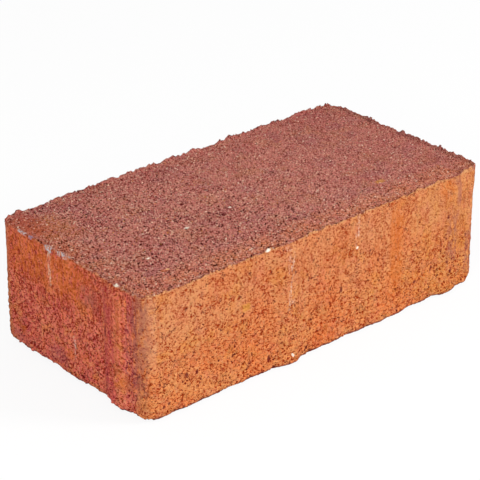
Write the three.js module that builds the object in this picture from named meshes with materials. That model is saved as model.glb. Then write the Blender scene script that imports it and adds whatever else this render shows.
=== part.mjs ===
// Concrete paving stone: one pressed block, lying on its bed face.
// Millimetres, +Z up, length along X, origin in the middle of the bed face.
import * as THREE from 'three';

// The block
const LENGTH = 198;
const WIDTH = 100;
const THICKNESS = 60; // from the bed face to the highest places of the lip
const CORNER_RADIUS = 7; // the four upright corners

// Lip: mix squeezed up between the tamper and the mould. It stands in uneven waves round the
// wearing face, and is missing over the lugs.
const LIP_HEIGHT = 1; // its highest waves, over the wearing face
const LIP_HOLLOW = 0.7; // how much lower it stands between two waves
const LIP_CREST = 0.4; // inwards, from the side to the crest
const LIP_WIDTH = 1.4; // inwards, from the side to the flat of the wearing face
const LIP_WAVE = 11; // along the edge, from one wave to the next

// Bed arris: worn round, most of all at the two ends, and more in some places than in others
const LONG_ARRIS_RADIUS = 3.5;
const END_ARRIS_RADIUS = 6;
const ARRIS_WEAR = 0.6; // either way from that radius
const ARRIS_WAVE = 14; // along the edge, from one worn place to the next
const ARRIS_LIMIT = 0.9; // share of a corner's radius that the arris may take up there

// Spacer lugs: low upright ribs that keep the next block a joint's width away.
// Every side carries them the same way round, so two like blocks never set lug on lug.
const LUG_PROUD = 2;
const LUG_CREST = 5; // width of the flat top of the rib
const LUG_FLANK = 6.5; // run of each of its two slopes along the side
const LUG_FROM_END = 19; // middle of the rib, from the side's right-hand end seen from outside
const LUG_PITCH = 100; // to the next rib on a long side
const LUG_TOP_DROP = 1.8; // the rib starts this far under the wearing face
const LUG_SHOULDER = 3; // and takes this much height to reach its full width

// Facets
const STATION_STEP = 3; // the most between two points along a side
const CORNER_STEPS = 6;
const BED_ARRIS_STEPS = 5;
const SHOULDER_STEPS = 3;

const wearingFace = THICKNESS - LIP_HEIGHT;
const lugHalfBase = LUG_CREST / 2 + LUG_FLANK;

// A smooth step from 0 to 1, level at both ends.
const ease = (t) => (1 - Math.cos(Math.PI * THREE.MathUtils.clamp(t, 0, 1))) / 2;

// Distances of the lug middles from the left-hand end of a side of this length.
function lugMiddles(sideLength) {
  const middles = [];
  let middle = sideLength - LUG_FROM_END;
  while (middle - lugHalfBase > CORNER_RADIUS) {
    middles.unshift(middle);
    middle -= LUG_PITCH;
  }
  return middles;
}

// Places along the straight stretch of a side, from its left-hand end: every knee of a lug is
// one, and the stretches between them are cut into even steps.
function straightPlaces(sideLength, middles) {
  const knees = [CORNER_RADIUS];
  for (const middle of middles) {
    knees.push(middle - lugHalfBase, middle - LUG_CREST / 2);
    knees.push(middle + LUG_CREST / 2, middle + lugHalfBase);
  }
  knees.push(sideLength - CORNER_RADIUS);
  const places = [];
  for (let k = 1; k < knees.length; k++) {
    const steps = Math.ceil((knees[k] - knees[k - 1]) / STATION_STEP);
    for (let i = 0; i < steps; i++) {
      places.push(THREE.MathUtils.lerp(knees[k - 1], knees[k], i / steps));
    }
  }
  return places;
}

// Stations round the plain outline, counter-clockwise from above. Each holds its place, the way
// out of the block there, how much of a lug it carries, how much it belongs to an end rather
// than a long side, and its distance round, in which a corner counts as square.
function outlineStations() {
  const stations = [];
  let start = 0;
  for (let side = 0; side < 4; side++) {
    const isEnd = side % 2;
    const length = isEnd ? WIDTH : LENGTH;
    const distance = (isEnd ? LENGTH : WIDTH) / 2;
    const angle = side * (Math.PI / 2);
    const along = new THREE.Vector2(Math.cos(angle), Math.sin(angle));
    const out = new THREE.Vector2(Math.sin(angle), -Math.cos(angle));
    const middles = lugMiddles(length);
    for (const s of straightPlaces(length, middles)) {
      const place = out.clone().multiplyScalar(distance).addScaledVector(along, s - length / 2);
      const past = Math.min(...middles.map((m) => Math.abs(s - m)), length) - LUG_CREST / 2;
      stations.push({ place, out, lug: ease(1 - past / LUG_FLANK), end: isEnd, round: start + s });
    }
    for (let i = 0; i < CORNER_STEPS; i++) {
      const t = i / CORNER_STEPS;
      const turned = new THREE.Vector2()
        .addScaledVector(along, Math.sin((t * Math.PI) / 2))
        .addScaledVector(out, Math.cos((t * Math.PI) / 2));
      const place = new THREE.Vector2()
        .addScaledVector(along, length / 2 - CORNER_RADIUS)
        .addScaledVector(out, distance - CORNER_RADIUS)
        .addScaledVector(turned, CORNER_RADIUS);
      const round = start + length + CORNER_RADIUS * (2 * t - 1);
      stations.push({ place, out: turned, lug: 0, end: isEnd ? 1 - t : t, round });
    }
    start += length;
  }
  return stations;
}

// A wave from 0 to 1 that closes round the outline. A second one, SLOWER times as long, makes
// its crests uneven, and where the two add up to FULL or more the wave is cut off flat.
const SLOWER = 2.7;
const FULL = 1.5;
function wave(round, waveLength) {
  const perimeter = 2 * (LENGTH + WIDTH);
  const turn = (2 * Math.PI * round) / perimeter;
  const quick = Math.sin(turn * Math.round(perimeter / waveLength));
  const slow = Math.sin(turn * Math.round(perimeter / (SLOWER * waveLength)));
  return THREE.MathUtils.clamp((quick + slow + FULL) / (2 * FULL), 0, 1);
}

// Height of the lip over the wearing face.
function lipHeight({ round, lug }) {
  return (LIP_HEIGHT - LIP_HOLLOW * (1 - wave(round, LIP_WAVE))) * (1 - lug);
}

// Radius of the bed arris. Round a corner it stays under the corner's own radius.
function bedArris({ round, end }) {
  const radius = THREE.MathUtils.lerp(LONG_ARRIS_RADIUS, END_ARRIS_RADIUS, end);
  const worn = radius + ARRIS_WEAR * (2 * wave(round, ARRIS_WAVE) - 1);
  const inCorner = end > 0 && end < 1;
  return inCorner ? Math.min(worn, ARRIS_LIMIT * CORNER_RADIUS) : worn;
}

// Levels from the bed face up. Each one says, for a station, how high its point lies, how far
// it is drawn in and how far a lug stands out there.
function blockLevels() {
  const levels = [];
  for (let i = 0; i <= BED_ARRIS_STEPS; i++) {
    const angle = (Math.PI / 2) * (i / BED_ARRIS_STEPS);
    levels.push((station) => {
      const radius = bedArris(station);
      const inset = radius * (1 - Math.sin(angle));
      return { z: radius * (1 - Math.cos(angle)), inset, proud: LUG_PROUD };
    });
  }
  const shoulderFoot = wearingFace - LUG_TOP_DROP - LUG_SHOULDER;
  for (let i = 0; i <= SHOULDER_STEPS; i++) {
    const t = i / SHOULDER_STEPS;
    const level = { z: shoulderFoot + LUG_SHOULDER * t, inset: 0, proud: LUG_PROUD * ease(1 - t) };
    levels.push(() => level);
  }
  levels.push(() => ({ z: wearingFace, inset: 0, proud: 0 }));
  levels.push((station) => ({ z: wearingFace + lipHeight(station), inset: LIP_CREST, proud: 0 }));
  levels.push(() => ({ z: wearingFace, inset: LIP_WIDTH, proud: 0 }));
  return levels;
}

// Lofts the block through its levels and closes it with the bed face and the wearing face.
function blockGeometry() {
  const stations = outlineStations();
  const count = stations.length;
  const rings = blockLevels().map((level) =>
    stations.map((station) => {
      const { z, inset, proud } = level(station);
      const { x, y } = station.place.clone().addScaledVector(station.out, proud * station.lug - inset);
      return new THREE.Vector3(x, y, z);
    }),
  );
  const indices = [];
  for (let ring = 0; ring < rings.length - 1; ring++) {
    for (let i = 0; i < count; i++) {
      const a = ring * count + i;
      const b = ring * count + ((i + 1) % count);
      indices.push(a, b, b + count, a, b + count, a + count);
    }
  }
  for (const [a, b, c] of THREE.ShapeUtils.triangulateShape(rings[0], [])) {
    indices.push(a, c, b);
  }
  const top = (rings.length - 1) * count;
  for (const [a, b, c] of THREE.ShapeUtils.triangulateShape(rings.at(-1), [])) {
    indices.push(top + a, top + b, top + c);
  }
  const geometry = new THREE.BufferGeometry().setFromPoints(rings.flat());
  geometry.setIndex(indices);
  geometry.computeVertexNormals();
  return geometry;
}

const redConcrete = new THREE.MeshStandardMaterial({ color: 0xb4674a, roughness: 0.92, metalness: 0 });
const pavingStone = new THREE.Mesh(blockGeometry(), redConcrete);
pavingStone.name = 'paving_stone';

const part = new THREE.Group();
part.add(pavingStone);

export default part;
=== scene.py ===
import math
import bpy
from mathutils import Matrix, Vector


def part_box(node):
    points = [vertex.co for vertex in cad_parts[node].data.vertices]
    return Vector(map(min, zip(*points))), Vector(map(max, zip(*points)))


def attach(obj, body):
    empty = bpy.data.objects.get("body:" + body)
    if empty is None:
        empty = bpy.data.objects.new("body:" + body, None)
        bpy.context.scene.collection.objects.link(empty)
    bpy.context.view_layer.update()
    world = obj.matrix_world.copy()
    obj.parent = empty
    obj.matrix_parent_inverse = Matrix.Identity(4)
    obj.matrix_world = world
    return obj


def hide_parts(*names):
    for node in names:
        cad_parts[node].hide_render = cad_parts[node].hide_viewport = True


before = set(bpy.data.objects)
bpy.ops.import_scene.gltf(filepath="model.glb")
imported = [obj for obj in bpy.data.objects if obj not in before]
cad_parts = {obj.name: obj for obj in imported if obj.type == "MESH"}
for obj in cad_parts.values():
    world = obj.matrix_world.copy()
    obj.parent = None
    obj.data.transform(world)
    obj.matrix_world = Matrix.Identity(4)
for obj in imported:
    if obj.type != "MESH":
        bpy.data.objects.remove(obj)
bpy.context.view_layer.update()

from types import SimpleNamespace

import bpy
import numpy as np
from mathutils import Matrix, Vector

# ---------------------------------------------------------------------------
# The pressed block
# One piece of red concrete: a dry mix, rammed into a steel mould that stands on a board and
# pressed down by a tamper, then cured.

# Its form: a lattice of square cells, wrapped round the block and finer towards the edges of
# the wearing face, with rounded upright corners, a worn bed arris and six ribs.
MM = 0.001
_, block_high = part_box("paving_stone")

RIB_PROUD = 2 * MM
RIB_CREST = 5 * MM
RIB_FLANK = 6.5 * MM
RIB_PLACES = (19 * MM, 119 * MM)  # from a side's right-hand end, seen from outside
RIB_TOP_DROP = 1.8 * MM
RIB_SHOULDER = 3 * MM
CORNER_RADIUS = 7 * MM
LONG_ARRIS = 3.5 * MM
END_ARRIS = 6 * MM
ARRIS_WEAR = 0.6 * MM  # the arris is worn round unevenly, by this much either way
ARRIS_LIMIT = 0.9  # share of a corner's radius that the arris may take up there
ARRIS_WAVE = 14 * MM
LIP_HEIGHT = 1 * MM  # the lip's even waves, over the wearing face
LIP_HOLLOW = 0.7 * MM  # how much lower it stands between two waves
LIP_WAVE = 11 * MM
WAVE_SLOWER = 2.7  # a second, longer wave makes the first one's crests uneven
WAVE_FULL = 1.5  # and their sum is cut off flat beyond this
RIB_REACH = 5 * MM  # how far in from a side the wearing face still counts as over a rib
CELL = 0.8 * MM
CELL_UP = 1.0 * MM
EDGE_CELLS = np.array([0, 0.3, 0.6, 0.95, 1.4, 2.0, 2.8, 3.6]) * MM
UNDER_FACE = np.array([3.4, 2.8, 2.3, 1.8, 1.4, 1.0, 0.65, 0.3]) * MM
ARRIS_LEVELS = 12
TINY = 1e-9  # keeps a division by zero away

half_length = block_high.x - RIB_PROUD
half_width = block_high.y - RIB_PROUD
face_height = block_high.z - LIP_HEIGHT
perimeter = 4 * (half_length + half_width)


def ease(t):
    return (1 - np.cos(np.pi * np.clip(t, 0, 1))) / 2


def wave(distance_round, wave_length):
    """A wave from 0 to 1 that closes round the outline."""
    turn = 2 * np.pi * distance_round / perimeter
    quick = np.sin(turn * round(perimeter / wave_length))
    slow = np.sin(turn * round(perimeter / (WAVE_SLOWER * wave_length)))
    return np.clip((quick + slow + WAVE_FULL) / (2 * WAVE_FULL), 0, 1)


def lattice_lines(half):
    inner = half - EDGE_CELLS[-1]
    pairs = round(inner / CELL)
    middle = np.linspace(-inner, inner, 2 * pairs + 1)
    return np.concatenate([EDGE_CELLS[:-1] - half, middle, half - EDGE_CELLS[-2::-1]])


def round_corners(x, y):
    """Lattice points with each corner square turned into a quarter disc."""
    straight_x = half_length - CORNER_RADIUS
    straight_y = half_width - CORNER_RADIUS
    past_x = np.maximum(np.abs(x) - straight_x, 0)
    past_y = np.maximum(np.abs(y) - straight_y, 0)
    shrink = np.maximum(past_x, past_y) / np.maximum(np.hypot(past_x, past_y), TINY)
    x = np.sign(x) * (np.minimum(np.abs(x), straight_x) + past_x * shrink)
    y = np.sign(y) * (np.minimum(np.abs(y), straight_y) + past_y * shrink)
    return x, y


def stand_on_outline(x, y):
    """For each point: the way out at the nearest edge, the distance round there, in which a
    corner counts as square, how much that edge is an end, and how much of a rib it carries."""
    nearest = np.full(len(x), np.inf)
    out = np.zeros((len(x), 2))
    distance_round, end, rib = np.zeros((3, len(x)))
    start = 0.0
    for side in range(4):
        angle = side * math.pi / 2
        along = np.array([math.cos(angle), math.sin(angle)])
        away = np.array([math.sin(angle), -math.cos(angle)])
        is_end = side % 2
        half_side, distance = (half_width, half_length) if is_end else (half_length, half_width)
        s = x * along[0] + y * along[1]
        past_s = s - (half_side - CORNER_RADIUS)
        past_away = x * away[0] + y * away[1] - (distance - CORNER_RADIUS)

        weight = np.zeros(len(x))
        for place in RIB_PLACES:
            if place < 2 * half_side - CORNER_RADIUS:
                gap = np.abs(s - (half_side - place)) - RIB_CREST / 2
                weight = np.maximum(weight, ease(1 - gap / RIB_FLANK))
        inside = CORNER_RADIUS - past_away
        here = (inside < nearest) & (np.abs(s) <= half_side - CORNER_RADIUS)
        nearest[here] = inside[here]
        out[here] = away
        distance_round[here] = start + s[here] + half_side
        end[here] = is_end
        rib[here] = weight[here] * (inside[here] < RIB_REACH)

        here = (past_s > 0) & (past_away > 0)
        turned = np.arctan2(past_s[here], past_away[here])
        share = turned / (math.pi / 2)
        out[here] = np.outer(np.sin(turned), along) + np.outer(np.cos(turned), away)
        distance_round[here] = start + 2 * half_side + CORNER_RADIUS * (2 * share - 1)
        end[here] = 1 - share if is_end else share
        start += 2 * half_side
    return out, distance_round, end, rib


def arris_radius(distance_round, end):
    worn = LONG_ARRIS + (END_ARRIS - LONG_ARRIS) * end
    worn = worn + ARRIS_WEAR * (2 * wave(distance_round, ARRIS_WAVE) - 1)
    in_corner = (end > 0) & (end < 1)
    return np.where(in_corner, np.minimum(worn, ARRIS_LIMIT * CORNER_RADIUS), worn)


xs = lattice_lines(half_length)
ys = lattice_lines(half_width)
columns = len(xs) - 1
rows = len(ys) - 1
points = []
rib_at = []
lip_at = []


def add_points(x, y, z, rib, distance_round):
    first = sum(map(len, points))
    points.append(np.column_stack([x, y, np.broadcast_to(z, x.shape)]))
    rib_at.append(np.broadcast_to(rib, x.shape))
    hollow = LIP_HOLLOW / LIP_HEIGHT * (1 - wave(distance_round, LIP_WAVE))
    lip_at.append(np.broadcast_to(1 - hollow, x.shape))
    return np.arange(first, first + len(x))


def new_object(name, data):
    thing = bpy.data.objects.new(name, data)
    bpy.context.scene.collection.objects.link(thing)
    return thing


# The wearing face.
grid_x, grid_y = np.meshgrid(xs, ys, indexing="ij")
top_x, top_y = round_corners(grid_x.ravel(), grid_y.ravel())
_, top_round, _, top_rib = stand_on_outline(top_x, top_y)
top = add_points(top_x, top_y, face_height, top_rib, top_round).reshape(columns + 1, rows + 1)

# The sides: one ring of points for each height, counter-clockwise from above, the arris first.
rim = [(i, 0) for i in range(columns)]
rim += [(columns, j) for j in range(rows)]
rim += [(i, rows) for i in range(columns, 0, -1)]
rim += [(0, j) for j in range(rows, 0, -1)]
rim_x, rim_y = round_corners(np.array([xs[i] for i, j in rim]), np.array([ys[j] for i, j in rim]))
rim_out, rim_round, rim_end, rim_rib = stand_on_outline(rim_x, rim_y)
rim_arris = arris_radius(rim_round, rim_end)

levels = []
for turned in np.linspace(0, math.pi / 2, ARRIS_LEVELS):
    levels.append((rim_arris * (1 - np.cos(turned)), rim_arris * (1 - np.sin(turned))))
side_top = face_height - UNDER_FACE[0]
upright_steps = round((side_top - LONG_ARRIS) / CELL_UP)
for step in range(1, upright_steps):
    levels.append((rim_arris + (side_top - rim_arris) * step / upright_steps, 0.0))
for drop in UNDER_FACE:
    levels.append((np.full(len(rim), face_height - drop), 0.0))
rings = []
for z, inset in levels:
    shoulder = ease((face_height - RIB_TOP_DROP - z) / RIB_SHOULDER)
    push = rim_rib * shoulder * RIB_PROUD - inset
    x = rim_x + push * rim_out[:, 0]
    y = rim_y + push * rim_out[:, 1]
    rings.append(add_points(x, y, z, rim_rib, rim_round))
rings.append(np.array([top[i, j] for i, j in rim]))

# The bed face: every second line of the lattice, stretched between the sides of the lowest ring.
low = points[1][:, :2]
front = low[: columns + 1]
right = low[columns : columns + rows + 1]
back = low[columns + rows : 2 * columns + rows + 1][::-1]
left = np.concatenate([low[2 * columns + rows :], low[:1]])[::-1]
bed_i, bed_j = np.meshgrid(np.arange(2, columns, 2), np.arange(2, rows, 2), indexing="ij")
bed_i, bed_j = bed_i.ravel(), bed_j.ravel()
u = ((xs[bed_i] + half_length) / (2 * half_length))[:, None]
v = ((ys[bed_j] + half_width) / (2 * half_width))[:, None]
bed_xy = (1 - v) * front[bed_i] + v * back[bed_i] + (1 - u) * left[bed_j] + u * right[bed_j]
bed_xy -= (1 - v) * ((1 - u) * front[0] + u * front[-1]) + v * ((1 - u) * back[0] + u * back[-1])
bed_points = add_points(bed_xy[:, 0], bed_xy[:, 1], 0.0, 0.0, 0.0)
bed = dict(zip(zip(bed_i, bed_j), bed_points))
bed.update(zip(rim, rings[0]))

faces = []
cells = np.stack([top[:-1, :-1], top[1:, :-1], top[1:, 1:], top[:-1, 1:]], axis=-1)
faces += cells.reshape(-1, 4).tolist()
for lower, upper in zip(rings[:-1], rings[1:]):
    wall = np.stack([lower, np.roll(lower, -1), np.roll(upper, -1), upper], axis=-1)
    faces += wall.tolist()
for i in range(0, columns, 2):
    for j in range(0, rows, 2):
        loop = [(i, j), (i, j + 1), (i, j + 2), (i + 1, j + 2)]
        loop += [(i + 2, j + 2), (i + 2, j + 1), (i + 2, j), (i + 1, j)]
        faces.append([int(bed[corner]) for corner in loop if corner in bed])

form = bpy.data.meshes.new("pressed_form")
form.from_pydata(np.concatenate(points).tolist(), [], faces)
for name, values in (("rib", rib_at), ("lip_wave", lip_at)):
    attribute = form.attributes.new(name, "FLOAT", "POINT")
    attribute.data.foreach_set("value", np.concatenate(values))
form.shade_smooth()
block = new_object("pressed_block", form)

# Its surface. A dry mix never fills its mould quite: the sides stay pitted, coarser towards the
# bed, the bed arris crumbles, and the tamper leaves a ragged lip round the top. The surface and
# the finish are worked out in millimetres.
FACE = face_height / MM
END = half_length / MM
SIDE = half_width / MM
LUMP_SIZE = 2.6
HIGHEST_LIP = 2.5
LEAST_COARSE = 0.25  # how coarse the sides are under the wearing face, against 1 at the bed
SEED_STEP = (61.3, 17.7, 29.9)  # how far each seed moves the patterns
NO_LIMIT = -1e3  # lower than any x or y
SURFACE = {
    "Half length": END,
    "Half width": SIDE,
    "Face height": FACE,
    "Corner radius": CORNER_RADIUS / MM,
    "Lip height": 1.6,
    "Lip width": 1.15,
    "Arris wear": 0.8,
    "Lump height": 0.45,
    "Gap depth": 0.8,
    "Seed": 1.0,
}
# Where the block is out of true: middle, reach each way, and how far out. Then the round
# notches in its bed arris: middle, reach, and how deep.
UNEVEN = (
    ((99, -2, 61), (6, 62, 9), 0.4),
    ((98, -50, 58), (9, 9, 14), 0.5),
    ((98, -50, 4), (10, 10, 14), -0.1),
    ((79, -51, 0), (15, 6, 7), -0.5),
    ((36, -50, 0), (22, 5, 6), 0.45),
    ((-13, -51, 0), (10, 5, 6), 0.5),
    ((-99, 3, 1), (6, 7, 6), 0.5),
    ((-99, -24, 1), (6, 7, 6), -0.6),
)
NOTCHES = (
    ((-81.7, -50, 1.0), 1.9, 1.3),
    ((-69.1, -50, 1.0), 1.5, 0.8),
    ((-41.6, -50, 1.0), 1.8, 0.9),
    ((-28.2, -50, 1.0), 1.6, 1.2),
    ((-6.5, -50, 1.0), 2.4, 1.2),
    ((18.1, -50, 1.0), 1.6, 0.8),
    ((42.6, -50, 1.0), 1.6, 1.0),
    ((53.8, -50, 1.0), 1.5, 0.8),
    ((-99, 22.0, 2.0), 2.2, 0.9),
    ((-99, -21.0, 2.0), 2.4, 1.0),
)
# Where the lip stands higher or lower than its even waves: middle, reach each way, and height.
LIP_SWELLS = (
    ((99, 29, 60), (6, 15, 6), 1.0),
    ((99, -17, 60), (6, 20, 6), 0.7),
    ((99, -42, 60), (6, 10, 6), 0.8),
    ((98, 50, 60), (9, 6, 6), -0.4),
    ((92, -50, 60), (7, 5, 6), 1.0),
    ((73, -50, 60), (6, 5, 6), 0.8),
    ((78, 50, 60), (5, 5, 6), 1.0),
    ((66, 50, 60), (6, 5, 6), -0.5),
    ((36, 50, 60), (5, 5, 6), 0.7),
    ((12, 50, 60), (5, 5, 6), 0.7),
    ((-18, 50, 60), (7, 5, 6), 0.5),
    ((-42, 50, 60), (5, 5, 6), 0.7),
    ((-79, 50, 60), (6, 5, 6), -0.7),
)


def new_group(name, kind, inputs, outputs):
    """A node group with sockets of these kinds, what its inputs give, and its output node."""
    tree = bpy.data.node_groups.new(name, kind + "NodeTree")
    for way, sockets in (("INPUT", inputs), ("OUTPUT", outputs)):
        for label, socket in sockets.items():
            tree.interface.new_socket(name=label, in_out=way, socket_type="NodeSocket" + socket)
    return tree, tree.nodes.new("NodeGroupInput").outputs, tree.nodes.new("NodeGroupOutput")


def shape_group(name, sizes):
    """A geometry node tree with an input for each size, and one for the material."""
    kinds = {label: "Int" if isinstance(size, int) else "Float" for label, size in sizes.items()}
    inputs = {"Geometry": "Geometry", **kinds, "Finish": "Material"}
    return new_group(name, "Geometry", inputs, {"Geometry": "Geometry"})


def put(tree, kind, inputs=None, **settings):
    """A new node, with each input either linked or set."""
    node = tree.nodes.new(kind)
    for name, value in settings.items():
        setattr(node, name, value)
    for socket, value in (inputs or {}).items():
        if isinstance(value, bpy.types.NodeSocket):
            tree.links.new(value, node.inputs[socket])
        else:
            node.inputs[socket].default_value = value
    return node


def output(tree, kind, inputs=None, **settings):
    return put(tree, kind, inputs, **settings).outputs[0]


def calc(tree, operation, *values):
    return output(tree, "ShaderNodeMath", dict(enumerate(values)), operation=operation)


def chained(tree, operation, values):
    result = values[0]
    for value in values[1:]:
        result = calc(tree, operation, result, value)
    return result


def total(tree, *values):
    return chained(tree, "ADD", values)


def product(tree, *values):
    return chained(tree, "MULTIPLY", values)


def highest(tree, *values):
    return chained(tree, "MAXIMUM", values)


def less(tree, value, amount):
    return calc(tree, "SUBTRACT", value, amount)


def unsigned(tree, value):
    return calc(tree, "ABSOLUTE", value)


def fade(tree, value, start, end, low=0.0, high=1.0):
    """From low to high, softly, while the value goes from start to end."""
    inputs = {0: value, 1: start, 2: end, 3: low, 4: high}
    return output(tree, "ShaderNodeMapRange", inputs, interpolation_type="SMOOTHSTEP")


def between(tree, share, low, high):
    """From low to high while a share goes from 0 to 1."""
    return fade(tree, share, 0, 1, low, high)


def vector_calc(tree, operation, *vectors):
    return output(tree, "ShaderNodeVectorMath", dict(enumerate(vectors)), operation=operation)


def scaled(tree, vector, factor):
    return output(tree, "ShaderNodeVectorMath", {0: vector, 3: factor}, operation="SCALE")


def stretched(tree, vector, factors):
    return vector_calc(tree, "MULTIPLY", vector, factors)


def axes(tree, vector):
    return put(tree, "ShaderNodeSeparateXYZ", {0: vector}).outputs


def above_bed(tree, position):
    """The position, lifted to the bed's level where it lies lower."""
    return vector_calc(tree, "MAXIMUM", position, (NO_LIMIT, NO_LIMIT, 0))


def cloud(tree, place, size, detail=2.0, roughness=0.5):
    inputs = {"Vector": place, "Scale": 1 / size, "Detail": detail, "Roughness": roughness}
    return output(tree, "ShaderNodeTexNoise", inputs)


def warped(tree, place, size, amount):
    """The place, pushed about by a cloud, so that cells lose their straight edges."""
    drift = put(tree, "ShaderNodeTexNoise", {"Vector": place, "Scale": 1 / size, "Detail": 2.0})
    centred = vector_calc(tree, "SUBTRACT", drift.outputs["Color"], (0.5, 0.5, 0.5))
    return vector_calc(tree, "ADD", place, scaled(tree, centred, 2 * amount))


def nearness(tree, place, middle, reach):
    """1 in the middle of an egg of this reach each way, and 0 outside it."""
    share = vector_calc(tree, "DIVIDE", vector_calc(tree, "SUBTRACT", place, middle), reach)
    away = put(tree, "ShaderNodeVectorMath", {0: share}, operation="LENGTH").outputs["Value"]
    return fade(tree, away, 1, 0.5)


def coarseness(tree, z):
    return fade(tree, z, 50, 12, LEAST_COARSE, 1)


def lumps_of(tree, place, coarse):
    """Distance to the nearest gap between lumps of the mix, and where the gaps stand open."""
    inputs = {"Vector": warped(tree, place, 2.0, 0.9), "Scale": 1 / LUMP_SIZE}
    cells = put(tree, "ShaderNodeTexVoronoi", inputs, feature="DISTANCE_TO_EDGE")
    open_cloud = cloud(tree, place, 1.7, 2, 0.7)
    level = fade(tree, coarse, 0.2, 1, 0.63, 0.52)
    open_here = fade(tree, open_cloud, level, calc(tree, "ADD", level, 0.06))
    return cells.outputs["Distance"], open_here


def inside_outline(tree, given, x, y):
    """How far inside the outline a point lies, seen from above."""
    radius = given["Corner radius"]
    past = []
    for axis, half in ((x, given["Half length"]), (y, given["Half width"])):
        past.append(less(tree, unsigned(tree, axis), less(tree, half, radius)))
    outer = [highest(tree, value, 0.0) for value in past]
    corner = calc(tree, "SQRT", total(tree, *[product(tree, value, value) for value in outer]))
    inner = calc(tree, "MINIMUM", highest(tree, *past), 0.0)
    return less(tree, less(tree, radius, corner), inner)


def named_value(tree, name, kind="FLOAT"):
    return output(tree, "GeometryNodeInputNamedAttribute", {"Name": name}, data_type=kind)


def with_value(tree, shape, name, value, kind="FLOAT"):
    inputs = {"Geometry": shape, "Name": name, "Value": value}
    return output(tree, "GeometryNodeStoreNamedAttribute", inputs, data_type=kind, domain="POINT")


def standing_out(tree, place, table):
    """How far out a place stands, by a table of middles, reaches and heights."""
    return total(tree, *[
        product(tree, nearness(tree, place, middle, reach), far) for middle, reach, far in table
    ])


def ragged_lip(tree, given, at):
    """Squeezed up between tamper and mould, and missing over the ribs."""
    around = stretched(tree, at.spot, (1, 1, 0))
    teeth = fade(tree, cloud(tree, around, 3.2, 3, 0.65), 0.4, 0.6, 0.2, 1.25)
    rise = fade(tree, at.inside, 0, 0.3, 0.8, 1)
    fall = fade(tree, at.inside, 0.35, given["Lip width"], 1, 0)
    no_rib = fade(tree, named_value(tree, "rib"), 0.1, 0.8, 1, 0)
    even = product(tree, named_value(tree, "lip_wave"), teeth, no_rib, given["Lip height"])
    height = highest(tree, total(tree, even, standing_out(tree, at.place, LIP_SWELLS)), 0.0)
    height = calc(tree, "MINIMUM", height, HIGHEST_LIP)
    return product(tree, height, rise, fall, fade(tree, at.under_face, 2.2, 0))


def lumpy_side(tree, given, at):
    """Lumps of the mix, with gaps between them that grow towards the bed."""
    coarse = coarseness(tree, at.z)
    edge, open_here = lumps_of(tree, at.place, coarse)
    dome = fade(tree, edge, 0, 0.4)
    gap = product(tree, fade(tree, edge, 0.17, 0.03), open_here, given["Gap depth"])
    rubble = product(tree, less(tree, cloud(tree, at.spot, 2.2, 3, 0.6), 0.5), 1.6)
    lumps = product(tree, total(tree, dome, rubble), given["Lump height"], coarse)
    swell = less(tree, cloud(tree, at.spot, 26, 1), 0.5)
    out = less(tree, total(tree, lumps, swell), gap)
    return product(tree, out, at.side, fade(tree, at.under_face, 0, 3, 0.3, 1))


def sandy_faces(tree, at):
    """The wearing and bed faces: flat, with sand grains and small pores."""
    sand = product(tree, less(tree, cloud(tree, at.spot, 1, 1, 0.5), 0.52), 1.2)
    swell = product(tree, less(tree, cloud(tree, at.spot, 34, 1), 0.5), 0.5)
    return product(tree, total(tree, sand, swell), less(tree, 1.0, at.side))


def worn_arris(tree, given, at):
    """The bed arris, crumbled away in bites."""
    arris = fade(tree, highest(tree, at.z, at.inside), 7, 1)
    bites = product(tree, fade(tree, cloud(tree, at.spot, 4, 2, 0.55), 0.57, 0.64), 0.6)
    crumbs = product(tree, less(tree, cloud(tree, at.spot, 2.6, 2, 0.6), 0.68), 2.8)
    from_end = [less(tree, given["Half length"], run) for run in (10.0, 3.0)]
    by_end = fade(tree, unsigned(tree, at.x), *from_end, 0, 0.8)
    wear = product(tree, arris, total(tree, bites, crumbs, by_end), given["Arris wear"])
    for middle, reach, depth in NOTCHES:
        notch = product(tree, nearness(tree, at.place, middle, [reach] * 3), depth)
        wear = highest(tree, wear, notch)
    return wear


def pressed_surface():
    """Moves the lattice, and keeps how far inside the outline each point lies for the finish."""
    tree, given, end = shape_group("pressed_surface", SURFACE)
    position = output(tree, "GeometryNodeInputPosition")
    normal = output(tree, "GeometryNodeInputNormal")
    normal_z = axes(tree, normal)[2]
    at = SimpleNamespace(place=scaled(tree, position, 1 / MM))
    at.spot = vector_calc(tree, "ADD", at.place, scaled(tree, SEED_STEP, given["Seed"]))
    at.x, at.y, at.z = axes(tree, at.place)
    at.inside = inside_outline(tree, given, at.x, at.y)
    at.under_face = less(tree, given["Face height"], at.z)
    at.side = fade(tree, unsigned(tree, normal_z), 0.75, 0.35)

    not_on_top = fade(tree, normal_z, 0.75, 0.35)
    uneven = product(tree, standing_out(tree, at.place, UNEVEN), not_on_top)
    out = total(tree, lumpy_side(tree, given, at), sandy_faces(tree, at), uneven)
    out = less(tree, out, worn_arris(tree, given, at))
    outwards = scaled(tree, normal, product(tree, out, MM))
    lift = product(tree, ragged_lip(tree, given, at), MM)
    upwards = output(tree, "ShaderNodeCombineXYZ", {2: lift})
    moved = vector_calc(tree, "ADD", position, vector_calc(tree, "ADD", outwards, upwards))

    shape = with_value(tree, given["Geometry"], "inside", at.inside)
    inputs = {"Geometry": shape, "Position": above_bed(tree, moved)}
    shape = output(tree, "GeometryNodeSetPosition", inputs)
    shape = output(tree, "GeometryNodeRealizeInstances", {"Geometry": shape})
    inputs = {"Geometry": shape, "Material": given["Finish"]}
    tree.links.new(output(tree, "GeometryNodeSetMaterial", inputs), end.inputs[0])
    return tree


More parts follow.
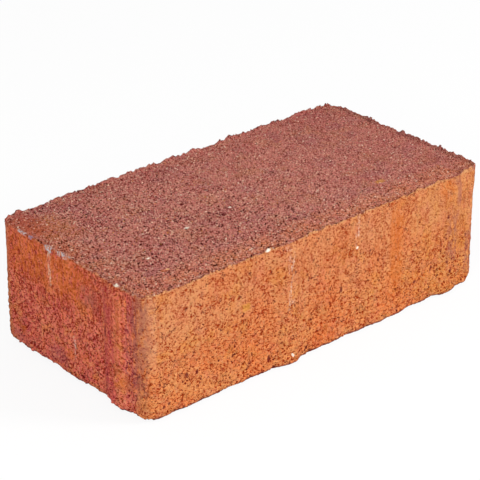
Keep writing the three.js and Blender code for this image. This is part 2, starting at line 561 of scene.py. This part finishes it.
# Its finish. Iron-oxide red cement paste over sand and grit, dull all over. The sides are
# brighter and more orange than the wearing face, with marks left by the mould, and some light
# and shade painted into the colour.
BUMP_DEPTH = 1.3 * MM
GLOSS = 0.08
PIT_SPACING = 1.3
CALMEST = 0.6  # share of its own lightness that a grain loses where the wearing face is calmest
LONG_PIGMENT = (0.775, 0.758, 0.73, 1)  # how much of the light the pigment leaves, by colour
END_PIGMENT = (0.84, 0.82, 0.815, 1)
TOP_PIGMENT = (0.78, 0.815, 0.845, 1)
FRONT_PIGMENT = (0.83, 0.825, 0.84, 1)


def tint(text):
    """A colour written as sRGB levels, as the shader takes it."""
    levels = [int(text[i : i + 2], 16) / 255 for i in (0, 2, 4)]
    linear = [c / 12.92 if c <= 0.04045 else ((c + 0.055) / 1.055) ** 2.4 for c in levels]
    return (*linear, 1.0)


def blend(tree, amount, below, above, mode="MIX"):
    """One colour laid over another by this amount. Each is a socket, its levels or a tint."""
    below, above = (tint(colour) if isinstance(colour, str) else colour for colour in (below, above))
    inputs = {0: amount, 6: below, 7: above}
    return put(tree, "ShaderNodeMix", inputs, data_type="RGBA", blend_type=mode).outputs[2]


def sand_group():
    """Sand grains: how light each one is, which few are pale, and their domes and gaps."""
    inputs = {"Place": "Vector", "Grain size": "Float"}
    outputs = {"Tone": "Float", "Pale": "Float", "Height": "Float"}
    tree, given, end = new_group("sand_grain", "Shader", inputs, outputs)
    scale = calc(tree, "DIVIDE", 1.0, given["Grain size"])
    bent = warped(tree, given["Place"], 0.6, 0.35)
    grains = put(tree, "ShaderNodeTexVoronoi", {"Vector": bent, "Scale": scale})
    luck = axes(tree, grains.outputs["Color"])
    core = fade(tree, grains.outputs["Distance"], 0.62, 0.36)
    missing = product(tree, fade(tree, luck[2], 0.16, 0.08), core)
    dome = fade(tree, grains.outputs["Distance"], 0.8, 0.1)
    height = less(tree, dome, product(tree, missing, 1.5))
    tree.links.new(luck[0], end.inputs["Tone"])
    tree.links.new(product(tree, fade(tree, luck[1], 0.978, 0.99), core), end.inputs["Pale"])
    tree.links.new(height, end.inputs["Height"])
    return tree


def mark_group():
    """A soft-edged box on the block, broken up like something smeared on rough stone."""
    inputs = {"Place": "Vector", "Middle": "Vector", "Half size": "Vector"}
    inputs.update({"Breakup": "Float", "Solid": "Float"})
    tree, given, end = new_group("mark", "Shader", inputs, {"Mask": "Float"})
    off = vector_calc(tree, "SUBTRACT", given["Place"], given["Middle"])
    share = vector_calc(tree, "DIVIDE", off, given["Half size"])
    sides = [fade(tree, unsigned(tree, along), 1.25, 0.55) for along in axes(tree, share)]
    smear = cloud(tree, stretched(tree, given["Place"], (1, 1, 0.35)), 1.5, 3, 0.6)
    broken = fade(tree, smear, given["Breakup"], calc(tree, "ADD", given["Breakup"], 0.16))
    speck = fade(tree, cloud(tree, given["Place"], 0.8, 2, 0.6), 0.42, 0.54, given["Solid"], 1)
    tree.links.new(product(tree, *sides, broken, speck), end.inputs["Mask"])
    return tree


# For each kind of mark its colour, how strong it is and how solid; then, for each place, its
# middle and half size in millimetres and how broken up it is.
STAINS = (
    # A painted highlight, paler at the near upright corner.
    ("f8c8a4", 0.2, 1.0, (((-95.2, -50, 44), (2.8, 3, 20), 0.34),)),
    # Bands left by the mould: orange, red and dusky.
    ("f4802e", 0.5, 1.0, (
        ((45.5, -50, 36), (4.5, 3, 23), 0.36),
        ((-99, 15, 49), (3, 32, 11), 0.38),
    )),
    # Over the rib of the left-hand end, seen from outside: the orange band on its right-hand flank
    # is partly painted highlight, and the red band on its left-hand flank partly painted shade; both
    # are also mould marks.
    ("f09450", 0.3, 1.0, (((-100, -34.6, 32), (4, 2.8, 28), 0.36),)),
    ("bc3c48", 0.45, 1.0, (((-100, -28, 30), (4, 4.4, 30), 0.36),)),
    ("b46c64", 0.48, 1.0, (
        ((84, -51, 52), (2.2, 4, 8), 0.34),
        ((80, -51, 30), (4, 4, 14), 0.38),
        ((94, -50, 18), (4, 4, 12), 0.38),
        ((-98.8, -45.4, 38), (3, 3.5, 30), 0.38),
        ((-99, -13, 46), (3, 6.5, 5.5), 0.4),
    )),
    ("a84c58", 0.45, 1.0, (
        ((-99, 9, 9), (3, 7, 4.5), 0.38),
        ((-99, 38, 7), (3, 5, 4), 0.38),
        ((-100, -40.6, 34), (4, 3.6, 26), 0.42),
    )),
    # Rusty and ochre patches.
    ("e08440", 0.4, 1.0, (((-86, 28, 59.4), (9, 14, 1.5), 0.4),)),
    ("f07c30", 0.45, 0.6, (
        ((76, -51, 54), (5, 4, 5), 0.4),
        ((-99, 1.4, 13.6), (3, 3.4, 3), 0.36),
        ((-99, 35, 10.8), (3, 2.4, 2.4), 0.36),
        ((-101, -35.5, 17.4), (3, 4, 4), 0.36),
        ((-99, -7.2, 17), (3, 4.5, 3.5), 0.4),
        ((-75.3, -34.1, 59.4), (1.8, 1.2, 1.5), 0.2),
    )),
    ("d0583c", 0.5, 1.0, (((-93, 36, 60), (7, 13, 3), 0.36),)),
    ("f4aa4c", 0.7, 1.0, (
        ((-44, -50, 37), (2.2, 3, 1.8), 0.2),
        ((53, -31, 59.4), (2.6, 1.4, 1.5), 0.3),
    )),
)
# Scrapes, and dust on the edge over the left-hand end.
DUST = (
    ("e4c8b4", 0.7, 0.1, (
        ((-20, -52, 43), (2.0, 3, 16), 0.48),
        ((20.8, -50, 51), (1.2, 3, 7.5), 0.44),
        ((-99, 13.5, 50), (3, 1.1, 10), 0.4),
        ((-99, -2.5, 18.5), (3, 1.0, 5.5), 0.4),
    )),
    ("d2cacc", 1.0, 0.0, (
        ((-98.7, 33, 59.5), (1.4, 3.0, 1.1), 0.38),
        ((-98.7, 14, 58.9), (1.6, 2.8, 2.0), 0.38),
        ((-98.7, 4.5, 59.4), (1.8, 4.0, 1.5), 0.38),
    )),
    ("9a94b8", 0.9, 0.3, (((-98.7, 27, 59.3), (1.4, 1.2, 1.1), 0.3),)),
)
# Small egg-shaped spots: dark cracks and blots; white flecks and one ochre one.
BLOTS = (
    ("741420", 0.85, (
        ((11.4, -50, 26), (0.9, 3, 2.0)),
        ((-77.3, -50, 17), (1.2, 3, 1.5)),
        ((-71.7, -50, 16.7), (0.8, 3, 1.8)),
        ((-31.2, -50, 7.5), (1.1, 3, 2.4)),
        ((-89.5, -50, 6.3), (1.2, 3, 0.9)),
        ((-86.8, -50, 7.2), (1.0, 3, 0.8)),
        ((57.8, -50, 13.9), (1.3, 3, 1.0)),
        ((60.1, -50, 43.3), (0.7, 3, 0.7)),
        ((68.5, -50, 17.1), (0.8, 3, 1.9)),
        ((76.9, -51, 41.1), (0.8, 3, 1.4)),
        ((77.2, -51, 18.1), (1.0, 3, 1.0)),
        ((78.5, -51, 10.9), (0.9, 3, 1.1)),
        ((79.6, -51, 12.9), (1.2, 3, 1.6)),
        ((-101, -25.7, 36.1), (3, 1.7, 3.2)),
        ((-22.9, -11, 59.2), (2.6, 0.9, 1.8)),
        ((-11.8, 13.3, 59.2), (1.0, 2.4, 1.8)),
        ((-29.3, 9.4, 59.2), (1.3, 1.2, 1.8)),
    )),
)
FLECKS = (
    ("fff2e0", 0.95, (
        ((20.8, -50, 43.5), (0.9, 3, 0.9)),
        ((-32, -49.5, 59.8), (1.9, 1.6, 1.2)),
        ((-18.8, -52, 5.2), (0.7, 3, 1.0)),
        ((-98.5, -31.7, 59.6), (1.7, 2.0, 1.2)),
        ((-43, -10, 59.4), (1.6, 1.1, 1.8)),
        ((-15.5, -6.8, 59.2), (0.9, 0.9, 1.8)),
        ((-73.4, -21.3, 59.4), (1.3, 0.8, 1.8)),
    )),
    ("ffd090", 0.9, (((-73.3, -34.1, 59.4), (1.1, 0.8, 1.8)),)),
)


def marked(tree, place, mark, tone, families):
    """The tone with soft-edged boxes laid over it, one colour after another."""
    for colour, strength, solid, places in families:
        mask = 0.0
        for middle, half_size, breakup in places:
            inputs = {"Place": place, "Middle": middle, "Half size": half_size}
            inputs.update({"Breakup": breakup, "Solid": solid})
            box = put(tree, "ShaderNodeGroup", inputs, node_tree=mark).outputs["Mask"]
            mask = highest(tree, mask, box)
        tone = blend(tree, product(tree, mask, strength), tone, colour)
    return tone


def spotted(tree, place, tone, families):
    """The tone with egg-shaped spots laid over it, one colour after another."""
    for colour, strength, places in families:
        mask = 0.0
        for middle, reach in places:
            mask = highest(tree, mask, nearness(tree, place, middle, reach))
        tone = blend(tree, product(tree, mask, strength), tone, colour)
    return tone


def finish_values(tree):
    """The place on the block, how much it belongs to each part of the surface, from 0 to 1, and
    the patterns and chance values that several of the functions below need."""
    at = SimpleNamespace()
    at.place = scaled(tree, tree.nodes.new("ShaderNodeTexCoord").outputs["Object"], 1 / MM)
    at.x, at.y, at.z = axes(tree, at.place)
    at.aside = vector_calc(tree, "ADD", at.place, (70, 30, 15))
    at.grain_place = stretched(tree, at.place, (1, 1, 2))
    at.inside = put(tree, "ShaderNodeAttribute", attribute_name="inside").outputs["Fac"]
    at.back = highest(tree, fade(tree, at.y, 38, 46), fade(tree, at.x, END - 9, END - 3))
    over_rim = product(tree, fade(tree, at.z, FACE - 0.4, FACE + 0.2), at.back)
    behind_lip = fade(tree, at.inside, 0.02, 0.2)
    flat = product(tree, fade(tree, at.z, FACE - 3, FACE - 1.6), behind_lip)
    at.top = highest(tree, over_rim, flat)
    at.side = less(tree, 1.0, at.top)
    by_end = fade(tree, unsigned(tree, at.x), END - 4, END - 0.3)
    at.end = product(tree, by_end, fade(tree, unsigned(tree, at.y), SIDE - 3.5, SIDE - 8.5))
    at.upper = fade(tree, at.z, 6, 54)
    at.front = fade(tree, at.y, -32, -43)
    at.coarse = coarseness(tree, at.z)
    at.patches = fade(tree, cloud(tree, at.place, 15, 3, 0.55), 0.34, 0.66)
    at.rim_noise = fade(tree, cloud(tree, at.place, 7, 3, 0.6), 0.3, 0.65, 0.3, 1)
    at.calm = fade(tree, calc(tree, "ADD", at.x, at.y), -60, 120, 0, CALMEST)
    at.is_grain = put(tree, "ShaderNodeAttribute", attribute_name="is_grain").outputs["Fac"]
    at.luck = axes(tree, put(tree, "ShaderNodeAttribute", attribute_name="grain").outputs["Vector"])
    return at


def by_coarseness(tree, at, fine, coarse):
    """From one value under the wearing face to another near the bed."""
    return fade(tree, at.coarse, LEAST_COARSE, 1, fine, coarse)


def side_paste(tree, at):
    """Orange on the long sides and redder on the ends."""
    orange = blend(
        tree, at.patches,
        blend(tree, at.upper, "ffa362", "f4a26e"),
        blend(tree, at.upper, "ff8e50", "f2945e"),
    )
    red = blend(
        tree, at.patches,
        blend(tree, at.upper, "ff866e", "fe876e"),
        blend(tree, at.upper, "f47064", "f47262"),
    )
    streaks = cloud(tree, stretched(tree, at.place, (1, 1, 0.3)), 6, 3, 0.6)
    yellower = product(tree, fade(tree, at.x, 45, 70), fade(tree, streaks, 0.36, 0.58), 0.5)
    tone = blend(tree, at.end, blend(tree, yellower, orange, "f2a04c"), red)
    ochre = fade(tree, cloud(tree, at.place, 11, 2, 0.6), 0.54, 0.68)
    tone = blend(tree, product(tree, ochre, 0.5), tone, "f29a48")
    rosy = fade(tree, cloud(tree, at.aside, 4.5, 3, 0.65), 0.5, 0.62)
    rosy_tone = blend(tree, at.end, "ec8868", "d85c6c")
    tone = blend(tree, product(tree, rosy, 0.38), tone, rosy_tone)
    glowing = fade(tree, cloud(tree, at.aside, 3, 3, 0.65), 0.5, 0.38)
    return blend(tree, product(tree, glowing, at.end, 0.36), tone, "fa8438")


def top_paste(tree, at):
    """Duller and pinker, but more orange towards the edges, most of all along the front; with
    painted shade and dark lumps along the back rim, and a painted shadow behind the lip.
    """
    tone = blend(tree, at.patches, "ee917f", "e28173")
    near_left = fade(tree, at.x, -78, -94, 0, 0.8)
    near_rest = fade(tree, at.inside, 9, 2, 0, between(tree, at.back, 0.4, 0.1))
    rim_band = highest(tree, at.front, near_left, near_rest)
    rim_tone = blend(tree, near_left, "f29268", "ec8058")
    tone = blend(tree, product(tree, rim_band, at.rim_noise), tone, rim_tone)
    brown = product(tree, fade(tree, cloud(tree, at.place, 9, 3, 0.6), 0.5, 0.64), 0.35)
    tone = blend(tree, brown, tone, "dc9060")
    purple = product(tree, fade(tree, cloud(tree, at.aside, 10, 3, 0.6), 0.5, 0.64), 0.35)
    tone = blend(tree, purple, tone, "b86870")
    far_long = fade(tree, at.y, 30, 46, 0, 0.34)
    far_end = fade(tree, at.x, 40, 80, 0, 0.16)
    tone = blend(tree, total(tree, far_long, far_end), tone, "c4605a")
    # Darker along the back rim: painted shade on the far side of the lip, and dark lumps on its
    # crest.
    back_rim_lumps_and_shade = product(tree, at.back, fade(tree, at.inside, 0.9, 0.3), 0.4)
    tone = blend(tree, back_rim_lumps_and_shade, tone, "a85450")
    # Painted shadow cast by the lip on the wearing face just inside it, strongest along the front.
    lip_shadow = product(
        tree, fade(tree, at.inside, 0.3, 0.7), fade(tree, at.inside, 3.6, 2.2),
        at.rim_noise, between(tree, at.back, 0.3, 0),
    )
    return blend(tree, lip_shadow, tone, "a4585c")


def mould_marks(tree, at, tone):
    """A painted highlight along the crest of the lip, painted shade on the upright corners at the
    far left and the right, and upright drag marks on the sides.
    """
    # Painted highlight: the crest of the lip made paler along the sides.
    crest_highlight = product(tree, fade(tree, at.z, FACE - 0.6, FACE + 0.5), at.side, at.rim_noise, 0.75)
    tone = blend(tree, crest_highlight, tone, "ffc48a")
    # Painted shade on the rounded upright corners at the far left and the right, where they turn
    # away from the light.
    far_left_shade = product(tree, fade(tree, at.y, 44, 49), fade(tree, at.x, -88, -96), 0.6)
    far_right_shade = product(tree, fade(tree, at.x, 94, 98.5), fade(tree, at.y, -38, -44), 0.3)
    tone = blend(tree, product(tree, total(tree, far_left_shade, far_right_shade), at.side), tone, "8c3840")
    drag = cloud(tree, stretched(tree, at.place, (1, 1, 0.07)), 1.7, 2, 0.5)
    dragged = product(tree, at.side, fade(tree, at.z, 12, 45, 0.25, 1))
    hold = between(tree, at.end, 0.35, 0.65)
    light_drag = product(tree, fade(tree, drag, 0.52, 0.66), dragged, hold)
    tone = blend(tree, light_drag, tone, blend(tree, at.end, "eba468", "fa8c50"))
    dark_drag = product(tree, fade(tree, drag, 0.48, 0.34), dragged, hold)
    return blend(tree, dark_drag, tone, blend(tree, at.end, "bd5228", "c04830"))


def skin(tree, at, sand):
    """Relief of the skin in millimetres, with the paste that half fills it: lumps, grains and
    grit, how far they stand out of the paste, below which the hollows get painted shade, and
    the single pits."""
    edge, _ = lumps_of(tree, at.place, at.coarse)
    lumps = product(tree, fade(tree, edge, 0, 0.3), by_coarseness(tree, at, 0.15, 0.26))
    rubble = cloud(tree, at.place, 1.2, 4, 0.66)
    fine = cloud(tree, at.grain_place, 0.72, 2, 0.6)
    side_relief = total(
        tree, product(tree, rubble, 0.9), lumps,
        product(tree, sand["Height"], 0.22), product(tree, fine, 0.75),
    )
    top_relief = total(
        tree, product(tree, rubble, 0.65),
        product(tree, sand["Height"], 0.45), product(tree, fine, 0.5),
    )
    side_paste_level = total(
        tree,
        by_coarseness(tree, at, 0.835, 0.855),
        fade(tree, cloud(tree, at.place, 7, 3, 0.6), 0.36, 0.64, -0.05, 0.05),
        product(tree, at.end, at.upper, 0.06),
    )
    paste_level = output(tree, "ShaderNodeMix", {0: at.top, 2: side_paste_level, 3: 0.585})
    relief = output(tree, "ShaderNodeMix", {0: at.top, 2: side_relief, 3: top_relief})
    pit_inputs = {"Vector": warped(tree, at.place, 0.9, 0.35), "Scale": 1 / PIT_SPACING}
    pit = put(tree, "ShaderNodeTexVoronoi", pit_inputs)
    pit_luck = axes(tree, pit.outputs["Color"])[0]
    pit_size = fade(tree, pit_luck, 0.2, 1, 0, 0.42)
    pit_size = product(tree, pit_size, by_coarseness(tree, at, 0.85, 1.0))
    pit_far = less(tree, pit.outputs["Distance"], pit_size)
    pitted = product(tree, fade(tree, pit_far, 0.05, -0.12), at.side)
    relief = less(tree, relief, product(tree, pitted, 0.35))
    return relief, less(tree, relief, paste_level), pitted


def shaded(tree, at, tone, sand, above, pitted):
    """Light where the grit stands out, painted shade in the hollows and pits, and painted shade on
    the underside of the bed arris. Also the light and the dark tone."""
    light_tone = blend(tree, at.top, "ffbf86", "ffc8aa")
    deep = fade(tree, cloud(tree, at.place, 3.2, 2, 0.6), 0.56, 0.64)
    dark_side = blend(tree, at.end, "ae3200", "9c220a")
    dark_side = blend(tree, product(tree, deep, 0.9), dark_side, "640818")
    dark_tone = blend(tree, at.top, dark_side, "781000")
    light = product(tree, fade(tree, above, 0.28, 0.55), 0.6)
    speckle = product(tree, fade(tree, sand["Tone"], 0.7, 1), 0.45)
    tone = blend(tree, highest(tree, light, speckle), tone, light_tone)
    # Painted shade where the skin lies low: softly darker near the paste level, dark in the hollows
    # under it.
    shade = product(tree, fade(tree, above, 0.16, 0), 0.35)
    tone = blend(tree, shade, tone, dark_tone)
    smooth_part = product(tree, fade(tree, at.x, 45, 66), fade(tree, at.z, 22, 42), at.side)
    hollow = product(tree, fade(tree, above, 0.02, -0.05), between(tree, smooth_part, 0.95, 0.5))
    tone = blend(tree, hollow, tone, dark_tone)
    # Painted shade in the single pits.
    tone = blend(tree, product(tree, pitted, 0.2), tone, dark_tone)
    # Painted shade on the underside of the bed arris, darker towards the bed.
    shade_up_to = between(tree, at.end, 2.6, 3.2)
    arris_underside_shade = fade(tree, at.z, shade_up_to, less(tree, shade_up_to, 1.4), 0, 0.75)
    return blend(tree, arris_underside_shade, tone, "74283a"), light_tone, dark_tone


def scattered_tone(tree, at, top_tone, light_tone, dark_tone):
    """The scattered grains: each one of its own lightness, and a few nearly black or ochre."""
    tone = blend(tree, fade(tree, at.luck[0], 0.1, 0.42, 1, 0), top_tone, dark_tone)
    tone = blend(tree, fade(tree, at.luck[0], 0.48, 0.95, 0, 1), tone, light_tone)
    from_corner = calc(tree, "ADD", at.x, product(tree, at.y, 0.7))
    near_corner = fade(tree, from_corner, 60, -110)
    bunches = fade(tree, cloud(tree, at.place, 3, 2, 0.6), 0.42, 0.6, 0.4, 2.2)
    rare = product(tree, between(tree, near_corner, 0.035, 0.18), bunches)
    tone = blend(tree, calc(tree, "LESS_THAN", at.luck[1], rare), tone, "480400")
    ochre_grain = product(tree, fade(tree, at.luck[2], 0.96, 0.97), 0.7)
    tone = blend(tree, ochre_grain, tone, "f8a050")
    return blend(tree, at.calm, tone, top_tone)


def pale_grains(tree, at, tone, sand):
    """A few pale grains, in the skin and among the scattered ones."""
    bare = between(tree, at.is_grain, 0.7, 0)
    pale = product(tree, sand["Pale"], between(tree, at.top, 0.25, 1), bare)
    tone = blend(tree, pale, tone, "ecccb4")
    strength = fade(tree, at.calm, 0, CALMEST, 0.8, 0.75)
    pale = product(tree, fade(tree, at.luck[1], 0.94, 0.945, 0, strength), at.is_grain, at.top)
    return blend(tree, pale, tone, blend(tree, at.luck[2], "e0a080", "fce0c8"))


def concrete(tree):
    at = finish_values(tree)
    sand_inputs = {"Place": at.grain_place, "Grain size": 0.8}
    sand = put(tree, "ShaderNodeGroup", sand_inputs, node_tree=sand_group()).outputs

    top_tone = top_paste(tree, at)
    tone = blend(tree, at.top, side_paste(tree, at), top_tone)
    tone = mould_marks(tree, at, tone)
    relief, above, pitted = skin(tree, at, sand)
    tone, light_tone, dark_tone = shaded(tree, at, tone, sand, above, pitted)
    grain_tone = scattered_tone(tree, at, top_tone, light_tone, dark_tone)
    tone = blend(tree, product(tree, at.is_grain, at.top), tone, grain_tone)

    # What the mould and the pallet left on it, with some painted highlight and shade among it, and
    # the depth of the pigment over all of that.
    mark = mark_group()
    tone = marked(tree, at.place, mark, tone, STAINS)
    tone = spotted(tree, at.place, tone, BLOTS)
    side_pigment = blend(tree, at.end, LONG_PIGMENT, END_PIGMENT)
    top_pigment = blend(tree, at.front, TOP_PIGMENT, FRONT_PIGMENT)
    tone = blend(tree, 1.0, tone, blend(tree, at.top, side_pigment, top_pigment), "MULTIPLY")

    # Pale grains, dust and white flecks lie bare of the pigment.
    tone = pale_grains(tree, at, tone, sand)
    tone = marked(tree, at.place, mark, tone, DUST)
    tone = spotted(tree, at.place, tone, FLECKS)

    bump_inputs = {"Strength": 1.0, "Distance": BUMP_DEPTH, "Height": relief}
    return output(tree, "ShaderNodeBsdfPrincipled", {
        "Base Color": tone,
        "Roughness": between(tree, sand["Tone"], 0.84, 0.97),
        "Normal": output(tree, "ShaderNodeBump", bump_inputs),
        "Specular IOR Level": GLOSS,
    })


def new_material(name, surface_of):
    """A material with the surface that this function makes on its node tree."""
    material = bpy.data.materials.new(name)
    material.use_nodes = True
    tree = material.node_tree
    tree.nodes.clear()
    tree.links.new(surface_of(tree), tree.nodes.new("ShaderNodeOutputMaterial").inputs[0])
    return material


def shaped_by(thing, tree, values):
    """Runs a geometry node tree on an object and keeps the result as its own plain mesh."""
    modifier = thing.modifiers.new(tree.name, "NODES")
    modifier.node_group = tree
    for item in tree.interface.items_tree:
        if item.in_out == "INPUT" and item.name in values:
            modifier[item.identifier] = values[item.name]
    depsgraph = bpy.context.evaluated_depsgraph_get()
    mesh = bpy.data.meshes.new_from_object(
        thing.evaluated_get(depsgraph), preserve_all_data_layers=True, depsgraph=depsgraph
    )
    thing.modifiers.clear()
    thing.data = mesh


finish = new_material("red_concrete", concrete)
shaped_by(block, pressed_surface(), {**SURFACE, "Finish": finish})
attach(block, "root")
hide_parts("paving_stone")

# ---------------------------------------------------------------------------
# The sand grains and crumbs
# Crushed sand of the mix, laid bare on the wearing face and half buried in the paste,
# and crumbs of the mix that hang on along the worn bed arris.

DENSEST = 3.0e6  # seats to a square metre, before the spacing thins them out
HALF_TURN = 3.14  # radians
FLATTEST = (0.7, 0.7, 0.6)  # share of its size that a grain keeps along each of its own axes
FULLEST = (1.15, 1.15, 1.0)
BIGGER = 1.3  # the few pale grains and the few dark ones, against the others
SAND_GRAINS = {
    "Lowest": face_height - 1.2 * MM, "Highest": 1.0, "Level": 0.5,
    "Spacing": 0.78 * MM, "Smallest": 0.27 * MM, "Largest": 0.53 * MM, "Sink": 0.04 * MM,
    "Segments": 4, "Rings": 2, "Seed": 5,
}
BED_CRUMBS = {
    "Lowest": 0.3 * MM, "Highest": 5.0 * MM, "Level": -0.95,
    "Spacing": 4.2 * MM, "Smallest": 0.5 * MM, "Largest": 0.9 * MM, "Sink": 0.3 * MM,
    "Segments": 5, "Rings": 4, "Seed": 9,
}


def chance(tree, given, salt, low, high, kind="FLOAT_VECTOR"):
    """A random value for each grain. The salt sets it apart from the others of one seed."""
    first = 2 if kind == "FLOAT" else 0
    inputs = {first: low, first + 1: high, "Seed": calc(tree, "ADD", given["Seed"], salt)}
    return put(tree, "FunctionNodeRandomValue", inputs, data_type=kind).outputs[first // 2]


def grain_seats(tree, given, position):
    """Points at random on the faces between two heights that look up far enough, sunk a little,
    with chance values for the finish."""
    z = axes(tree, position)[2]
    normal_z = axes(tree, output(tree, "GeometryNodeInputNormal"))[2]
    here = product(
        tree, calc(tree, "GREATER_THAN", z, given["Lowest"]),
        calc(tree, "LESS_THAN", z, given["Highest"]),
        fade(tree, normal_z, given["Level"], calc(tree, "ADD", given["Level"], 0.3)),
    )
    inputs = {"Mesh": given["Geometry"], "Distance Min": given["Spacing"], "Density Max": DENSEST}
    inputs.update({"Density Factor": here, "Seed": given["Seed"]})
    kind = "GeometryNodeDistributePointsOnFaces"
    scatter = put(tree, kind, inputs, distribute_method="POISSON").outputs
    sink = scaled(tree, scatter["Normal"], product(tree, given["Sink"], -1.0))
    inputs = {"Geometry": scatter["Points"], "Offset": sink}
    seats = output(tree, "GeometryNodeSetPosition", inputs)
    for name in ("rib", "lip_wave"):
        seats = output(tree, "GeometryNodeRemoveAttribute", {"Geometry": seats, "Name": name})
    luck = chance(tree, given, 4, (0, 0, 0), (1, 1, 1))
    seats = with_value(tree, seats, "grain", luck, "FLOAT_VECTOR")
    return with_value(tree, seats, "is_grain", 1.0)


def sand_scatter():
    """A faceted grain on each seat, of its own size, shape and turn."""
    tree, given, end = shape_group("sand_scatter", SAND_GRAINS)
    position = output(tree, "GeometryNodeInputPosition")
    luck = axes(tree, named_value(tree, "grain", "FLOAT_VECTOR"))[1]
    size = product(
        tree, chance(tree, given, 1, given["Smallest"], given["Largest"], "FLOAT"),
        fade(tree, luck, 0.95, 0.955, 1, BIGGER), fade(tree, luck, 0.12, 0.1, 1, BIGGER),
    )
    scale = scaled(tree, chance(tree, given, 2, FLATTEST, FULLEST), size)
    turn = chance(tree, given, 3, [-HALF_TURN] * 3, [HALF_TURN] * 3)
    inputs = {"Segments": given["Segments"], "Rings": given["Rings"], "Radius": 1.0}
    grain = output(tree, "GeometryNodeMeshUVSphere", inputs)
    inputs = {"Points": grain_seats(tree, given, position), "Instance": grain}
    inputs.update({"Rotation": turn, "Scale": scale})
    grains = output(tree, "GeometryNodeInstanceOnPoints", inputs)
    grains = output(tree, "GeometryNodeRealizeInstances", {"Geometry": grains})
    inputs = {"Geometry": grains, "Position": above_bed(tree, position)}
    grains = output(tree, "GeometryNodeSetPosition", inputs)
    inputs = {"Geometry": grains, "Material": given["Finish"]}
    tree.links.new(output(tree, "GeometryNodeSetMaterial", inputs), end.inputs[0])
    return tree


scatter_tree = sand_scatter()
for name, sizes in (("sand_grains", SAND_GRAINS), ("bed_crumbs", BED_CRUMBS)):
    grains = new_object(name, block.data.copy())
    shaped_by(grains, scatter_tree, {**sizes, "Finish": finish})
    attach(grains, "root")

# ---------------------------------------------------------------------------
# The studio
# A pale floor under the block, a soft lamp low on the right, a larger and weaker one on the
# left, and a camera with a long lens in front of the nearest corner.

FLOOR_HALF = 4.0
FLOOR_GREY = (0.86, 0.86, 0.86, 1)
FLOOR_GLOW = 0.88  # share of plain white in the floor, as the camera sees it
WORLD_LEVEL = 0.594
WHITE = (1, 1, 1, 1)
LAMP_DISTANCE = 1.4


def sees_background(tree):
    """1 for a ray that shows the background: from the camera, off a gloss or through glass."""
    ray = tree.nodes.new("ShaderNodeLightPath").outputs
    kinds = ("Is Camera Ray", "Is Glossy Ray", "Is Transmission Ray")
    return highest(tree, *[ray[kind] for kind in kinds])


def pale_floor(tree):
    matt = output(tree, "ShaderNodeBsdfDiffuse", {"Color": FLOOR_GREY})
    white = output(tree, "ShaderNodeEmission", {"Color": WHITE, "Strength": 1.0})
    share = product(tree, sees_background(tree), FLOOR_GLOW)
    return output(tree, "ShaderNodeMixShader", {0: share, 1: matt, 2: white})


floor_mesh = bpy.data.meshes.new("studio_floor")
floor_corners = [(-1, -1), (1, -1), (1, 1), (-1, 1)]
floor_points = [(FLOOR_HALF * x, FLOOR_HALF * y, 0.0) for x, y in floor_corners]
floor_mesh.from_pydata(floor_points, [], [(0, 1, 2, 3)])
floor_mesh.materials.append(new_material("pale_floor", pale_floor))
floor = new_object("studio_floor", floor_mesh)

world = bpy.data.worlds.new("studio")
world.use_nodes = True
sky_tree = world.node_tree
sky_tree.nodes.clear()
light = output(sky_tree, "ShaderNodeBackground", {"Color": WHITE, "Strength": WORLD_LEVEL})
white = output(sky_tree, "ShaderNodeBackground", {"Color": WHITE, "Strength": 1.0})
sky_inputs = {0: sees_background(sky_tree), 1: light, 2: white}
sky = output(sky_tree, "ShaderNodeMixShader", sky_inputs)
sky_tree.links.new(sky, sky_tree.nodes.new("ShaderNodeOutputWorld").inputs[0])
bpy.context.scene.world = world


def soft_lamp(name, direction, size, level):
    """An area lamp that lights a white surface facing it to the given level."""
    lamp = bpy.data.lights.new(name, "AREA")
    lamp.shape = "DISK"
    lamp.size = size
    lamp.energy = level * (math.pi * LAMP_DISTANCE) ** 2
    thing = new_object(name, lamp)
    away = Vector(direction).normalized()
    turn = away.to_track_quat("Z", "Y").to_matrix().to_4x4()
    thing.matrix_world = Matrix.Translation(away * LAMP_DISTANCE) @ turn


soft_lamp("key_lamp", direction=(0.6, -0.7, 0.5), size=0.45, level=0.716)
soft_lamp("left_lamp", direction=(-0.7, -0.6, 0.5), size=0.6, level=0.621)

# The camera stands a little under a metre from the block, where the frame holds its full length.
CAMERA_AZIMUTH = math.radians(-41.32)
CAMERA_ELEVATION = math.radians(26.54)
CAMERA_DISTANCE = 0.918
CAMERA_ASIDE = -0.00276
CAMERA_RAISED = 0.03164
FOCAL_PIXELS = 2003
PICTURE_PIXELS = 480
SENSOR = 36.0

back = Vector((
    math.sin(CAMERA_AZIMUTH) * math.cos(CAMERA_ELEVATION),
    -math.cos(CAMERA_AZIMUTH) * math.cos(CAMERA_ELEVATION),
    math.sin(CAMERA_ELEVATION),
))
right = Vector((0, 0, 1)).cross(back).normalized()
up = back.cross(right)
camera_data = bpy.data.cameras.new("camera")
camera_data.sensor_width = SENSOR
camera_data.lens = FOCAL_PIXELS / PICTURE_PIXELS * SENSOR
camera = new_object("camera", camera_data)
stand = back * CAMERA_DISTANCE + right * CAMERA_ASIDE + up * CAMERA_RAISED
camera.matrix_world = Matrix.Translation(stand) @ Matrix((right, up, back)).transposed().to_4x4()
bpy.context.scene.camera = camera

bpy.context.scene.view_settings.view_transform = "Standard"

bpy.context.view_layer.update()
